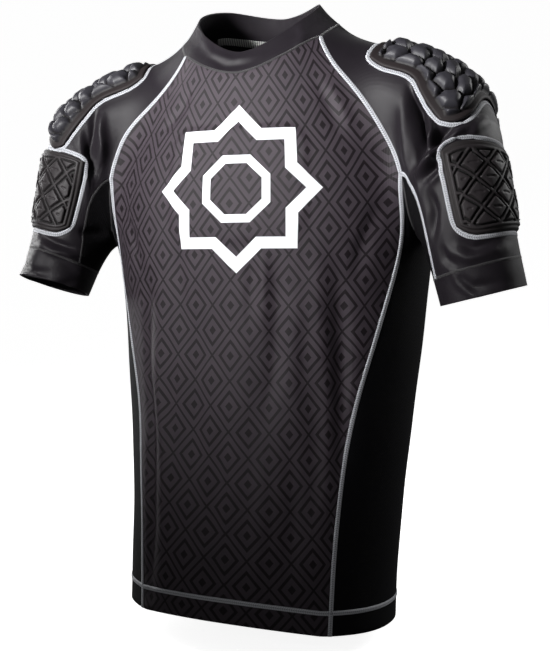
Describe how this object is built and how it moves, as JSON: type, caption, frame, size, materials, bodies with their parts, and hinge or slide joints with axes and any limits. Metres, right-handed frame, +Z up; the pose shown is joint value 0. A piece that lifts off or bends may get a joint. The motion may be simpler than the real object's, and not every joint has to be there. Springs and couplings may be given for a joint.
{
  "type": "padded compression shirt",
  "caption": "Short-sleeved raglan compression shirt in its worn shape, with blocky foam shoulder pads, plated upper arm pads, a stand collar and dark side panels.",
  "frame": {"origin": "middle of the neck opening, level with the shoulder seams at the neck, where the wearer's neck and shoulders carry the shirt", "axes": "+X to the wearer's left, -Y to the front, +Z up, from the hem to the collar"},
  "size_m": [0.5944, 0.2586, 0.6778],
  "materials": {
    "print_cloth": "knitted stretch cloth with a darker lattice, slight sheen",
    "plain_cloth": "knitted stretch cloth, slight sheen",
    "mesh_cloth": "perforated knitted mesh, matte",
    "foam_pad": "stretch cloth over foam, semi-gloss"
  },
  "bodies": {
    "root": {"front": "print_cloth", "back": "plain_cloth", "collar": "plain_cloth", "side_left": "mesh_cloth", "side_right": "mesh_cloth", "gusset_left": "mesh_cloth", "gusset_right": "mesh_cloth", "sleeve_left": "plain_cloth", "sleeve_right": "plain_cloth", "cuff_left": "plain_cloth", "cuff_right": "plain_cloth", "shoulder_pad_left": "foam_pad", "shoulder_pad_right": "foam_pad", "bicep_pad_left": "foam_pad", "bicep_pad_right": "foam_pad"}
  },
  "joints": []
}
